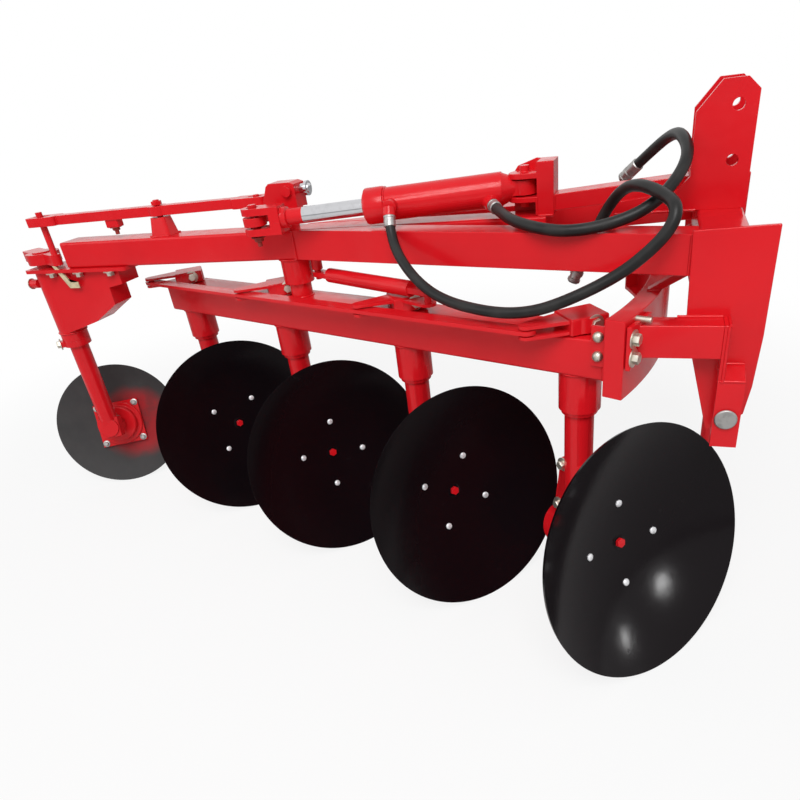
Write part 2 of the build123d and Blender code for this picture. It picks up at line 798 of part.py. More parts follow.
drag_span = (drag_pin_rest[0] - drag_anchor_x, drag_pin_rest[1])
drag_length = hypot(*drag_span)
drag_angle = degrees(atan2(drag_span[1], drag_span[0]))
drag_middle = drag_eye_bottom + drag_eye_thickness / 2
with BuildPart() as drag_link:
    link_plane = Plane(origin=(drag_anchor_x, 0, drag_eye_bottom), x_dir=(*around(1, drag_angle), 0), z_dir=(0, 0, 1))
    with BuildSketch(link_plane):
        with Locations((drag_length / 2, 0)):
            SlotCenterToCenter(drag_length, drag_eye_diameter)
        Circle(pin_diameter / 2 + pin_clearance, mode=Mode.SUBTRACT)
        with Locations((drag_length, 0)):
            Circle(pin_diameter / 2 + pin_clearance + drag_drift, mode=Mode.SUBTRACT)
        with Locations((drag_length / 2, 0)):
            Rectangle(drag_length - 4 * drag_eye_diameter, drag_eye_diameter, mode=Mode.SUBTRACT)
    extrude(amount=drag_eye_thickness)
    tube_start = around(1.7 * drag_eye_diameter, drag_angle)
    with BuildSketch(aimed_plane((drag_anchor_x + tube_start[0], tube_start[1], drag_middle), drag_angle, 0)):
        Circle(drag_link_diameter / 2)
    extrude(amount=drag_length - 3.4 * drag_eye_diameter)
finish(drag_link, "drag_link")

# Rocker bar, forked at both ends
tail_reach = (tail_pin[0] - rocker_x, tail_pin[1])
rocker_angle = degrees(atan2(tail_reach[1], tail_reach[0]))
front_pin_distance = hypot(*tail_reach)
steer_pin = (steer_x + around(steer_arm, steer_rest_angle)[0], around(steer_arm, steer_rest_angle)[1])
rear_pin_distance = hypot(steer_pin[0] - rocker_x, steer_pin[1])
rocker_bottom = rocker_post_top + 5
fork_width = 70
slot_length = 60
rocker_plane = Plane(origin=(rocker_x, 0, rocker_bottom), x_dir=(*around(1, rocker_angle), 0), z_dir=(0, 0, 1))
with BuildPart() as rocker:
    with BuildSketch(rocker_plane):
        with Locations(((front_pin_distance - rear_pin_distance) / 2, 0)):
            Rectangle(front_pin_distance + rear_pin_distance - 120, rocker_bar_width)
        with Locations((front_pin_distance - 20, 0), (20 - rear_pin_distance, 0)):
            RectangleRounded(116, fork_width, 12)
        Circle(32)
        with Locations((front_pin_distance, 0)):
            SlotCenterToCenter(slot_length, pin_diameter + 3)
        Circle(pin_diameter / 2 + pin_clearance, mode=Mode.SUBTRACT)
        with Locations((front_pin_distance - 4, 0)):
            SlotCenterToCenter(24, pin_diameter + 3, mode=Mode.SUBTRACT)
        with Locations((-rear_pin_distance + 8, 0)):
            SlotCenterToCenter(36, steer_pin_diameter + 4, mode=Mode.SUBTRACT)
    extrude(amount=rocker_bar_height)
finish(rocker, "rocker_bar")

# Shank of the furrow wheel with its steering arm
shank_top = 1028
arm_bottom = 986
stub_diameter = 46
wheel_radius = wheel_diameter / 2
wheel_height = wheel_radius * cos(radians(wheel_tilt))
stub_height = wheel_height + wheel_offset * sin(radians(wheel_tilt))
stub = aimed_plane((steer_x, 0, stub_height), wheel_azimuth, wheel_tilt)
with BuildPart() as shank:
    with BuildSketch(Plane.XY.offset(stub_height - 40)):
        with Locations((steer_x, 0)):
            Circle(shank_diameter / 2)
    extrude(amount=shank_top - stub_height + 40)
    with BuildSketch(Plane.XY.offset(housing_bottom - 24)):
        with Locations((steer_x, 0)):
            Circle(housing_diameter / 2)
    extrude(amount=24 - 0.3)
    with BuildSketch(stub.offset(-wheel_offset + 46)):
        Circle(stub_diameter / 2 + 14)
    extrude(amount=wheel_offset - 46 + 44)
    with BuildSketch(stub.offset(-wheel_offset - 20)):
        Circle(stub_diameter / 2)
    extrude(amount=wheel_offset)
finish(shank, "wheel_shank")

arm_plane = Plane(origin=(steer_x, 0, arm_bottom), x_dir=(*around(1, steer_rest_angle), 0), z_dir=(0, 0, 1))
with BuildPart() as steering_arm:
    with BuildSketch(arm_plane):
        with Locations((steer_arm / 2 - 30, 0)):
            Rectangle(steer_arm + 60, 36)
        with Locations((steer_arm, 0)):
            Circle(18)
        Circle(58)
        with Locations((-88, 0)):
            RectangleRounded(76, 64, 8)
        Circle(shank_diameter / 2, mode=Mode.SUBTRACT)
    extrude(amount=38)
    with BuildSketch(arm_plane.offset(38)):
        with Locations((steer_arm, 0)):
            Circle(steer_pin_diameter / 2)
    extrude(amount=rocker_bottom + rocker_bar_height + 14 - arm_bottom - 38)
finish(steering_arm, "steering_arm")

# Furrow wheel and its hub
wheel_plane = stub.offset(-wheel_offset)
wheel_sphere = (wheel_radius**2 + wheel_dish**2) / (2 * wheel_dish)
with BuildPart() as wheel:
    wheel_centre = wheel_sphere - wheel_dish
    wheel_back = wheel_sphere + wheel_thickness
    inner = stub_diameter / 2 + 4
    with BuildSketch(Plane(origin=wheel_plane.origin, x_dir=wheel_plane.x_dir, z_dir=-wheel_plane.y_dir)):
        with BuildLine():
            front_low = wheel_centre - (wheel_sphere**2 - inner**2) ** 0.5
            back_low = wheel_centre - (wheel_back**2 - inner**2) ** 0.5
            RadiusArc((wheel_radius, 0), (inner, front_low), wheel_sphere)
            Line((inner, front_low), (inner, back_low))
            edge = wheel_radius - 3
            RadiusArc((inner, back_low), (edge, wheel_centre - (wheel_back**2 - edge**2) ** 0.5), -wheel_back)
            Line((edge, wheel_centre - (wheel_back**2 - edge**2) ** 0.5), (wheel_radius, 0))
        make_face()
    revolve(axis=Axis(wheel_plane.origin, wheel_plane.z_dir), revolution_arc=360)
finish(wheel, "furrow_wheel")

with BuildPart() as wheel_hub:
    plate_level = -wheel_dish + 14
    with BuildSketch(wheel_plane.offset(plate_level)):
        Rectangle(190, 190)
    extrude(amount=10)
    with BuildSketch(wheel_plane.offset(plate_level + 10)):
        Circle(76)
    extrude(amount=40)
    seat = 70
    with BuildSketch(Plane(origin=wheel_plane.origin, x_dir=wheel_plane.x_dir, z_dir=-wheel_plane.y_dir)):
        with BuildLine():
            seat_level = wheel_centre - (wheel_sphere**2 - seat**2) ** 0.5
            RadiusArc((seat, seat_level), (inner, front_low), wheel_sphere)
            Polyline(
                (inner, front_low),
                (inner, back_low - 12),
                (0, back_low - 12),
                (0, plate_level),
                (seat, plate_level),
                (seat, seat_level),
            )
        make_face()
    revolve(axis=Axis(wheel_plane.origin, wheel_plane.z_dir), revolution_arc=360)
    with BuildSketch(wheel_plane.offset(-20)):
        Circle(stub_diameter / 2 + bearing_clearance)
    extrude(amount=80, mode=Mode.SUBTRACT)
finish(wheel_hub, "wheel_hub")

# Cylinder barrel and rod
cylinder_rear = Vector(cylinder_rear_x, 0, cylinder_rear_z)
rod_end = Vector(*cylinder_pin, lever_middle)
cylinder_line = rod_end - cylinder_rear
cylinder_length = cylinder_line.length
cylinder_azimuth = degrees(atan2(cylinder_line.Y, cylinder_line.X))
cylinder_slope = degrees(atan2(cylinder_line.Z, hypot(cylinder_line.X, cylinder_line.Y)))
cylinder_plane = aimed_plane(tuple(cylinder_rear), cylinder_azimuth, cylinder_slope)
barrel_wall = 10
hose_points = {
    "hose_a": [
        (397, -140, 1100),
        (403, -168, 1042),
        (479, -250, 971),
        (568, -290, 916),
        (719, -377, 910),
        (817, -385, 912),
        (907, -385, 942),
        (1011, -370, 991),
        (1078, -365, 1047),
        (1110, -360, 1089),
        (1115, -345, 1121),
        (1096, -300, 1135),
        (1041, -230, 1151),
        (999, -160, 1136),
        (960, -125, 1085),
        (925, -120, 1010),
        (895, -125, 940),
    ],
    "hose_b": [
        (668, -78, 1100),
        (700, -135, 1092),
        (745, -205, 1083),
        (821, -266, 1074),
        (892, -284, 1068),
        (979, -278, 1078),
        (1060, -254, 1104),
        (1112, -200, 1150),
        (1135, -140, 1195),
        (1118, -60, 1228),
        (1095, 20, 1222),
        (1050, 90, 1180),
        (1000, 130, 1130),
    ],
}
hose_starts = [points[0] for points in hose_points.values()]
elbow = Vector(*hose_starts[0]) - (Vector(*hose_points["hose_a"][1]) - Vector(*hose_starts[0])) * 0.336
elbow_side = radians(cylinder_azimuth + 90)
elbow_root = tuple(elbow - Vector(cos(elbow_side), sin(elbow_side), 0) * elbow_reach)
port_root = tuple(Vector(*hose_starts[1]) - (Vector(*hose_points["hose_b"][1]) - Vector(*hose_starts[1])) * 0.6)
with BuildPart() as barrel:
    with BuildSketch(cylinder_plane.offset(barrel_back)):
        Circle(barrel_diameter / 2)
    extrude(amount=barrel_front - barrel_back)
    with BuildSketch(cylinder_plane.offset(barrel_front)):
        Circle(barrel_diameter / 2 - 8)
    extrude(amount=16)
    with BuildSketch(aimed_plane(elbow_root, cylinder_azimuth + 90, 0)):
        Circle(port_diameter / 2)
    extrude(amount=elbow_reach + 2)
    with BuildSketch(Plane(origin=elbow, z_dir=Vector(*hose_starts[0]) - elbow)):
        Circle(port_diameter / 2 - 2)
    extrude(amount=(Vector(*hose_starts[0]) - elbow).length)
    with BuildSketch(Plane(origin=port_root, z_dir=tuple(Vector(*hose_starts[1]) - Vector(*port_root)))):
        Circle(port_diameter / 2)
    extrude(amount=(Vector(*hose_starts[1]) - Vector(*port_root)).length)
    with BuildSketch(cylinder_plane.offset(barrel_back + 30)):
        Circle(barrel_diameter / 2 - barrel_wall)
    extrude(amount=barrel_front - barrel_back - 60, mode=Mode.SUBTRACT)
    with BuildSketch(cylinder_plane.offset(barrel_front - 40)):
        Circle(rod_diameter / 2 + bearing_clearance)
    extrude(amount=60, mode=Mode.SUBTRACT)
    eye_plane = Plane(origin=(cylinder_rear_x, 0, cylinder_rear_z - 18), x_dir=(*around(1, cylinder_azimuth), 0), z_dir=(0, 0, 1))
    with BuildSketch(eye_plane):
        Circle(32)
        with Locations((34, 0)):
            Rectangle(68, 52)
    extrude(amount=36)
    with BuildSketch(eye_plane):
        Circle(cylinder_pin_diameter / 2 + pin_clearance)
    extrude(amount=36, mode=Mode.SUBTRACT)
finish(barrel, "cylinder_barrel")

# Hoses of the cylinder, each with a coupler on its end
for name, points in hose_points.items():
    radii = []
    for before, corner, after in zip(points, points[1:], points[2:]):
        run_in = Vector(*corner) - Vector(*before)
        run_out = Vector(*after) - Vector(*corner)
        turn = radians(run_in.get_angle(run_out))
        radii.append(0.45 * min(run_in.length, run_out.length) / tan(turn / 2))
    with BuildPart() as hose:
        with BuildLine():
            route = FilletPolyline(*points, radius=radii)
        with BuildSketch(Plane(origin=points[0], z_dir=route % 0)):
            Circle(hose_diameter / 2)
        sweep(path=route)
    finish(hose, name)
    print(name, round(route.length, 1), [round(radius) for radius in radii])
    last_run = Vector(*points[-1]) - Vector(*points[-2])
    with BuildPart() as coupler:
        with BuildSketch(Plane(origin=points[-1], z_dir=tuple(last_run))):
            Circle(coupler_diameter / 2)
        extrude(amount=coupler_length)
    finish(coupler, name.replace("hose", "coupler"))

eye_hole = cylinder_pin_diameter / 2 + eye_drift
prong = 18
with BuildPart() as rod:
    with BuildSketch(cylinder_plane.offset(barrel_front - 170)):
        Circle(rod_diameter / 2)
    extrude(amount=cylinder_length - 62 - barrel_front + 170)
    with BuildSketch(cylinder_plane.offset(cylinder_length - 104)):
        Circle(30)
    extrude(amount=30)
    clevis_plane = Plane(origin=(*cylinder_pin, 0), x_dir=(*around(1, cylinder_azimuth + 180), 0), z_dir=(0, 0, 1))
    with BuildSketch(clevis_plane.offset(lever_middle - 38)):
        Circle(34)
        with Locations((44, 0)):
            Rectangle(88, 68)
    extrude(amount=76)
    with BuildSketch(clevis_plane.offset(lever_bottom - 6)):
        with Locations((0, 0)):
            Rectangle(2 * 56, 90)
    extrude(amount=lever_thickness + 12, mode=Mode.SUBTRACT)
    with BuildSketch(clevis_plane.offset(lever_middle - 38)):
        Circle(eye_hole)
    extrude(amount=76, mode=Mode.SUBTRACT)
finish(rod, "cylinder_rod")

# Everything is moved so that the origin lies on the ground under the middle of the part
os.makedirs("parts", exist_ok=True)
boxes = [piece.bounding_box() for piece in finished.values()]
middle_x = (min(box.min.X for box in boxes) + max(box.max.X for box in boxes)) / 2
middle_y = (min(box.min.Y for box in boxes) + max(box.max.Y for box in boxes)) / 2
ground = min(box.min.Z for box in boxes)
print("moved by", -middle_x, -middle_y, -ground)
for label, piece in finished.items():
    placed = piece.moved(Location((-middle_x, -middle_y, -ground)))
    placed.label = label
    export_step(placed, f"parts/{label}.step")
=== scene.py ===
import json
import bmesh
import bpy
import numpy as np
from mathutils import Matrix, Vector

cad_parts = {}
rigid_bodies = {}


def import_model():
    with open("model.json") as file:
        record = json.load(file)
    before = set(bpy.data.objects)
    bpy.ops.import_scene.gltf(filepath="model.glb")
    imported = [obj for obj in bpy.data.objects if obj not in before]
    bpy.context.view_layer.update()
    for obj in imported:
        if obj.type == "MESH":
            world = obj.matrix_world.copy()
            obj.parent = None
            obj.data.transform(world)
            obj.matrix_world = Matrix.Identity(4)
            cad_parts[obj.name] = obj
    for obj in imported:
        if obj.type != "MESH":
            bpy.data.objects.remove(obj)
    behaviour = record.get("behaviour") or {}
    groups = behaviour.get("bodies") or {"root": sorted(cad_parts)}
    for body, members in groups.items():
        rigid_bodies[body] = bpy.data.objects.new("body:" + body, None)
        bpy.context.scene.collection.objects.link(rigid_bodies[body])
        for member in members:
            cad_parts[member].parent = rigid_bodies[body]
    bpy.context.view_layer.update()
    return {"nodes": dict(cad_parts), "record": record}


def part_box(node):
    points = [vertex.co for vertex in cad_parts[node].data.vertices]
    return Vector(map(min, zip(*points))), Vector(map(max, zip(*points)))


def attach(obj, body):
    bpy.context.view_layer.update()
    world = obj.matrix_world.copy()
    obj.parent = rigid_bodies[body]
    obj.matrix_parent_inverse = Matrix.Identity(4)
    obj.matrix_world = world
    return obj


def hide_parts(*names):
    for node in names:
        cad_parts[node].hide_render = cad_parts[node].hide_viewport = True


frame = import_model()

# Everything below is measured in millimetres from the axis about which the disc beam swings.
# The cross tube, whose front lies crossAhead metres before that axis, tells where the axis is
# in the part's own frame.
crossAhead = 1.265
crossLow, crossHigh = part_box("cross_tube")
swingAxis = np.array([crossHigh.x - crossAhead, (crossLow.y + crossHigh.y) / 2, 0.0])
print("frame loaded, swing axis at", swingAxis.round(4))


def metres(points):
    # millimetres from the swing axis to metres in the part's frame
    return np.asarray(points, float) / 1000 + swingAxis


def unit(vectors):
    vectors = np.asarray(vectors, float)
    return vectors / np.linalg.norm(vectors, axis=-1, keepdims=True)


def aimed(azimuth, elevation=0.0):
    # the direction with this azimuth and elevation, in degrees
    a, e = np.radians([azimuth, elevation])
    return np.array([np.cos(e) * np.cos(a), np.cos(e) * np.sin(a), np.sin(e)])


def sheetFaces(rows, columns):
    # one quad between each four neighbouring points of a grid whose columns join end to end
    u, v = np.meshgrid(np.arange(rows - 1), np.arange(columns), indexing="ij")
    after = (v + 1) % columns
    corners = [u * columns + v, u * columns + after, (u + 1) * columns + after, (u + 1) * columns + v]
    return np.stack(corners, -1).reshape(-1, 4)


def capped(rings):
    # rings[u, v] is a tube of closed rings; a fan about each end ring's middle closes it
    rows, columns = rings.shape[:2]
    points = np.concatenate([rings.reshape(-1, 3), rings[:1].mean(1), rings[-1:].mean(1)])
    v = np.arange(columns)
    after = (v + 1) % columns
    last = (rows - 1) * columns
    first = np.stack([np.full(columns, rows * columns), after, v], -1)
    end = np.stack([np.full(columns, rows * columns + 1), last + v, last + after], -1)
    return points, sheetFaces(rows, columns), np.concatenate([first, end])


def joined(shapes):
    # several shapes as one: their points in a row, their faces counted on
    starts = np.cumsum([0] + [len(shape[0]) for shape in shapes])
    return (
        np.concatenate([shape[0] for shape in shapes]),
        np.concatenate([shape[1] + start for shape, start in zip(shapes, starts)]),
        np.concatenate([shape[2] + start for shape, start in zip(shapes, starts)]),
    )


def turned(profile, foot, axis, sides=32, start=0.0):
    # rows of (height along the axis, radius), each swept round the axis that stands on foot
    profile = np.asarray(profile, float)
    axis = unit(axis)
    across = unit(np.cross(axis, (0, 0, 1) if abs(axis[2]) < 0.9 else (1, 0, 0)))
    over = np.cross(axis, across)
    angle = np.linspace(0, 2 * np.pi, sides, endpoint=False) + np.radians(start)
    spokes = np.cos(angle)[:, None] * across + np.sin(angle)[:, None] * over
    rings = np.asarray(foot, float) + profile[:, 0, None, None] * axis + profile[:, 1, None, None] * spokes
    return capped(rings)


def tube(path, radius, sides, towards):
    # a ring of the radius at each point of the path, square to it
    path = np.asarray(path, float)
    along = unit(np.gradient(path, axis=0))
    side = unit(np.cross(along, towards))
    over = np.cross(along, side)
    angle = np.linspace(0, 2 * np.pi, sides, endpoint=False)
    spokes = np.cos(angle)[None, :, None] * side[:, None] + np.sin(angle)[None, :, None] * over[:, None]
    return capped(path[:, None] + radius[:, None, None] * spokes)


# a weld bead's radius is its width times base + swell |sin|, once in each ripple millimetres
bead = {"base": 0.9, "swell": 0.16, "ripple": 5.2, "step": 1.7, "sides": 8, "ringSteps": 2.6}


def beadPath(path, width):
    # a weld bead along a path, whose radius also wanders a little
    path = np.asarray(path, float)
    steps = np.linalg.norm(np.diff(path, axis=0), axis=1)
    length = np.concatenate([[0], np.cumsum(steps)])
    count = max(int(length[-1] / bead["step"]), 4)
    s = np.linspace(0, length[-1], count)
    even = np.stack([np.interp(s, length, path[:, k]) for k in range(3)], -1)
    wander = 0.25 * np.sin(s * 0.31) + 0.2 * np.sin(s * 0.83 + 1)
    ripple = np.abs(np.sin(np.pi * s / bead["ripple"]))
    radius = width * (bead["base"] + bead["swell"] * ripple) + 0.12 * wander
    towards = (0, 0, 1) if np.ptp(even[:, 2]) < 0.7 * length[-1] else (1, 0, 0)
    return tube(even, radius, bead["sides"], towards)


def beadRing(centre, axis, radius, width):
    # a bead laid round a tube
    axis = unit(axis)
    across = unit(np.cross(axis, (0, 0, 1) if abs(axis[2]) < 0.9 else (1, 0, 0)))
    angle = np.linspace(0, 2 * np.pi, int(radius * bead["ringSteps"]))
    spokes = np.cos(angle)[:, None] * across + np.sin(angle)[:, None] * np.cross(axis, across)
    ripple = np.abs(np.sin(angle * radius * np.pi / bead["ripple"]))
    radii = width * (bead["base"] + bead["swell"] * ripple)
    return tube(np.asarray(centre, float) + radius * spokes, radii, bead["sides"], axis)


def hexHead(foot, axis, flats, height, start=0.0):
    # a washer, a six-sided head whose top corners are chamfered, and its flat top
    corner = flats / np.sqrt(3)
    washerForm = [(-0.5, flats * 0.9), (2.2, flats * 0.9), (2.6, flats * 0.86)]
    headForm = [(2, corner), (2 + height * 0.84, corner), (2 + height, corner * 0.88)]
    return joined([turned(washerForm, foot, axis, 28), turned(headForm, foot, axis, 6, start)])


def block(corners, thickness, axis):
    # a flat outline carried through the thickness along the axis
    corners = np.asarray(corners, float)
    return capped(np.stack([corners, corners + thickness * unit(axis)]))


def makePiece(name, shape, finish, body, bevel=0.0, crease=38):
    # an object from a shape in millimetres, riding on a body
    mesh = bpy.data.meshes.new(name)
    points, quads, triangles = shape
    mesh.from_pydata(metres(points).tolist(), [], quads.tolist() + triangles.tolist())
    mesh.shade_smooth()
    mesh.set_sharp_from_angle(angle=np.radians(crease))
    mesh.materials.append(finish)
    piece = bpy.data.objects.new(name, mesh)
    bpy.context.collection.objects.link(piece)
    if bevel:
        soften(piece, bevel)
    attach(piece, body)
    return piece


softEdge = {"segments": 2, "sharperThan": 40}


def soften(piece, width):
    edges = piece.modifiers.new("softEdges", "BEVEL")
    edges.width = width / 1000
    edges.segments = softEdge["segments"]
    edges.limit_method = "ANGLE"
    edges.angle_limit = np.radians(softEdge["sharperThan"])
    edges.harden_normals = True


class Value:
    # a socket in a material; arithmetic on it adds Math nodes
    def __init__(self, finish, socket):
        self.finish, self.socket = finish, socket

    def math(self, operation, first, second):
        return self.finish.node("ShaderNodeMath", {"operation": operation}, {0: first, 1: second})

    def __add__(self, other): return self.math("ADD", self, other)
    def __radd__(self, other): return self.math("ADD", other, self)
    def __sub__(self, other): return self.math("SUBTRACT", self, other)
    def __rsub__(self, other): return self.math("SUBTRACT", other, self)
    def __mul__(self, other): return self.math("MULTIPLY", self, other)
    def __rmul__(self, other): return self.math("MULTIPLY", other, self)


class Finish:
    # a material under construction, with its Object coordinates at hand
    def __init__(self, name, slot):
        self.material = bpy.data.materials.new(name)
        self.material.use_nodes = True
        self.material["slot"] = slot
        self.tree = self.material.node_tree
        self.shader = self.tree.nodes["Principled BSDF"]
        self.place = self.node("ShaderNodeTexCoord", output="Object")

    def node(self, kind, settings=None, inputs=None, output=0):
        made = self.tree.nodes.new(kind)
        for key, value in (settings or {}).items():
            setattr(made, key, value)
        for key, value in (inputs or {}).items():
            if isinstance(value, Value):
                self.tree.links.new(value.socket, made.inputs[key])
            else:
                made.inputs[key].default_value = value
        return Value(self, made.outputs[output])

    def noise(self, scale, detail=3.0, roughness=0.5):
        inputs = {"Vector": self.place, "Scale": scale, "Detail": detail, "Roughness": roughness}
        return self.node("ShaderNodeTexNoise", None, inputs)

    def band(self, value, low, high):
        # 0 below low, 1 above high, smooth between
        inputs = {"Value": value, "From Min": low, "From Max": high}
        return self.node("ShaderNodeMapRange", {"interpolation_type": "SMOOTHSTEP"}, inputs)

    def blend(self, amount, first, second):
        # one colour at 0, the other at 1
        return self.node("ShaderNodeMix", {"data_type": "RGBA"}, {0: amount, 6: first, 7: second}, 2)

    def reach(self, centre):
        # distance from a point of the part's frame
        inputs = {0: self.place, 1: tuple(centre)}
        return self.node("ShaderNodeVectorMath", {"operation": "DISTANCE"}, inputs, "Value")

    def bump(self, value, distance, strength=1.0):
        inputs = {"Height": value, "Distance": distance, "Strength": strength}
        return self.node("ShaderNodeBump", None, inputs, "Normal")

    def done(self, **sockets):
        for name, value in sockets.items():
            socket = self.shader.inputs[name.replace("_", " ")]
            if isinstance(value, Value):
                self.tree.links.new(value.socket, socket)
            else:
                socket.default_value = value
        return self.material


paint = {
    "red": (0.68, 0.009, 0.015, 1), "deep": (0.50, 0.006, 0.011, 1), "dust": (0.62, 0.36, 0.33, 1),
    "gloss": 0.17, "deepShare": 0.28, "dustShare": 0.03,
}


def redPaint():
    finish = Finish("redPaint", "red_paint")
    patches = finish.noise(5, 4)
    runs = finish.noise(38, 3)
    tone = finish.blend(finish.band(patches, 0.35, 0.75) * paint["deepShare"], paint["red"], paint["deep"])
    dust = finish.band(finish.noise(2.2, 5, 0.6), 0.56, 0.80) * paint["dustShare"]
    return finish.done(
        Base_Color=finish.blend(dust, tone, paint["dust"]),
        Roughness=paint["gloss"] + 0.10 * finish.band(runs, 0.4, 0.7) + 0.5 * dust,
        Specular_IOR_Level=0.24,
        Normal=finish.bump(runs, 0.0006, 0.12),
    )


discLook = {"black": (0.0042, 0.0024, 0.0034, 1), "worn": (0.10, 0.09, 0.095, 1), "gloss": 0.11}


def blackDisc():
    finish = Finish("blackDisc", "black_disc")
    cloud = finish.noise(3.5, 4)
    scuff = finish.band(finish.noise(26, 6, 0.65), 0.62, 0.78)
    return finish.done(
        Base_Color=finish.blend(scuff * 0.04 + 0.02 * cloud, discLook["black"], discLook["worn"]),
        Roughness=discLook["gloss"] + 0.10 * cloud + 0.10 * scuff,
        Specular_IOR_Level=0.12,
        Normal=finish.bump(finish.noise(11, 4, 0.55), 0.003, 0.16),
    )


# the overspray fades between these distances in metres from its centre
wheelLook = {
    "centre": (-1079.8, 151.5, 231.8), "overspray": (0.11, 0.18), "mist": (0.42, 0.010, 0.016, 1),
    "grey": (0.018, 0.018, 0.019, 1), "pale": (0.055, 0.053, 0.053, 1),
}


def greyWheel():
    finish = Finish("greyWheel", "grey_wheel")
    cloud = finish.noise(12, 5, 0.6)
    near, far = wheelLook["overspray"]
    ragged = finish.reach(metres(wheelLook["centre"])) + 0.06 * (cloud - 0.5)
    mist = (1 - finish.band(ragged, near, far)) * (0.55 + 0.45 * finish.band(cloud, 0.40, 0.60))
    tone = finish.blend(cloud, wheelLook["grey"], wheelLook["pale"])
    return finish.done(
        Base_Color=finish.blend(mist * 0.85, tone, wheelLook["mist"]),
        Specular_IOR_Level=0.3,
        Roughness=0.48 + 0.2 * cloud,
        Normal=finish.bump(cloud, 0.001, 0.3),
    )


def plainMetal(name, slot, colour, rough, spread, metal=1.0, shade=0.6):
    finish = Finish(name, slot)
    cloud = finish.noise(60, 4)
    darker = tuple(shade * c for c in colour[:3]) + (1,)
    return finish.done(
        Base_Color=finish.blend(finish.band(cloud, 0.45, 0.75), colour, darker),
        Roughness=rough + spread * cloud,
        Metallic=metal,
    )


def rubberHose():
    finish = Finish("rubberHose", "hose_rubber")
    dust = finish.band(finish.noise(20, 4), 0.4, 0.8)
    return finish.done(
        Base_Color=finish.blend(dust * 0.4, (0.006, 0.006, 0.006, 1), (0.04, 0.038, 0.036, 1)),
        Roughness=0.40 + 0.2 * dust,
        Specular_IOR_Level=0.28,
    )


def rustPatch():
    finish = Finish("rustPatch", "red_paint")
    cloud = finish.noise(70, 5, 0.7)
    return finish.done(
        Base_Color=finish.blend(cloud, (0.16, 0.035, 0.02, 1), (0.42, 0.02, 0.02, 1)),
        Roughness=0.75,
        Normal=finish.bump(cloud, 0.0015, 0.6),
    )


red = redPaint()
black = blackDisc()
grey = greyWheel()
chrome = plainMetal("chromeRod", "chrome_rod", (0.62, 0.62, 0.64, 1), 0.10, 0.03, 1.0, 0.92)
steel = plainMetal("bareSteel", "bare_steel", (0.40, 0.39, 0.38, 1), 0.36, 0.2)
zinc = plainMetal("zincBolt", "bare_steel", (0.60, 0.56, 0.48, 1), 0.34, 0.2)
brightZinc = plainMetal("brightZinc", "bare_steel", (0.86, 0.86, 0.88, 1), 0.45, 0.1, 0.5)
rubber = rubberHose()
rust = rustPatch()
yellowZinc = plainMetal("yellowZinc", "bare_steel", (0.72, 0.62, 0.40, 1), 0.42, 0.2, 0.7)
print("finishes made")

nodeFinish = {
    "red_paint": red, "black_disc": black, "grey_wheel": grey, "chrome_rod": chrome, "bare_steel": steel,
}
# bevels of the dressed pieces, by the start of the node's name
edgeWidth = {"disc": 0.6, "furrow_wheel": 0.8, "cylinder_rod": 1.0, "drag_link": 1.0, "lower_pin": 4.0, "": 2.0}

# profiles of the cylinder run along the rod from its pin, those of the neck back from the rear pin
cylinder = {
    "rear": (738, 0, 1130), "pinArm": 134.6, "pinAngle": -103.3, "pinHeight": 1107, "paintedEnd": 152,
    "gland": [(340, 43), (342, 47), (346, 48.5), (392, 48.5), (396, 47.5), (398, 44)],
    "glandLip": [(333, 24), (334, 30), (340, 31), (344, 31)],
    "neck": [(62, 43), (52, 38), (30, 29), (24, 26)],
    "jamNut": [(70, 34), (72, 36), (86, 36), (88, 34)],
    "jamRing": [(92, 26), (93, 29), (104, 29), (106, 25)],
    "pinDown": 44, "pinTail": [(0, 7), (26, 7), (28, 5)],
    "headPin": [(0, 14), (22, 14), (22.5, 21), (31, 21), (31.5, 14), (34, 13), (35, 9)],
    "headPinFoot": (58, 8, 1168),
}
rodEnd = cylinder["pinArm"] * aimed(cylinder["pinAngle"]) + (0, 0, cylinder["pinHeight"])
rodAxis = unit(np.array(cylinder["rear"]) - rodEnd)
# the discs: places along the disc beam, the dish as part of a sphere, the bolts, the nut and its cap
discs = {
    "firstStation": -625, "spacing": 533, "beamAngle": -18.5, "azimuth": -40, "lift": 15.2, "axleHeight": 250.0,
    "rimOut": 261, "dish": 99, "sphere": 594.5, "boltCircle": 113, "boltRadius": 10, "boltRise": 6,
    "boltTurns": (48, 80, 62, 85), "nutRadius": 14, "nutHeight": 11, "spigot": 21.4,
}
stations = [discs["firstStation"] + discs["spacing"] * k for k in range(4)]
discAxis = aimed(discs["azimuth"], discs["lift"])


def rimMiddle(number):
    # the middle of a disc's rim
    axle = stations[number] * aimed(discs["beamAngle"]) + (0, 0, discs["axleHeight"])
    return axle + discs["rimOut"] * discAxis


def paintRodEnd(work, mesh):
    # the fork and the neck are painted; the rod is chrome beyond them
    cut = metres(rodEnd + cylinder["paintedEnd"] * rodAxis)
    everything = work.verts[:] + work.edges[:] + work.faces[:]
    bmesh.ops.bisect_plane(work, geom=everything, plane_co=cut, plane_no=rodAxis)
    mesh.materials.append(red)
    for face in work.faces:
        beyond = (face.calc_center_median() - Vector(cut)).dot(Vector(rodAxis))
        face.material_index = 1 if beyond < 0 else 0


# the hub's nut stands this far over the disc's middle, within this reach, and goes this deep under it
hubNut = {"over": 3.5, "reach": 0.03, "narrowed": 0.8, "deep": 2}


def sinkHubNut(work, number):
    # the big nut of the solid goes behind the disc, where a cap and the photo's small nut cover it
    middle = metres(rimMiddle(number))
    for vert in work.verts:
        away = np.array(vert.co) - middle
        height = away @ discAxis
        side = away - height * discAxis
        if 1000 * height > hubNut["over"] - discs["dish"] and np.linalg.norm(side) < hubNut["reach"]:
            vert.co = middle + hubNut["narrowed"] * side - (discs["dish"] + hubNut["deep"]) / 1000 * discAxis


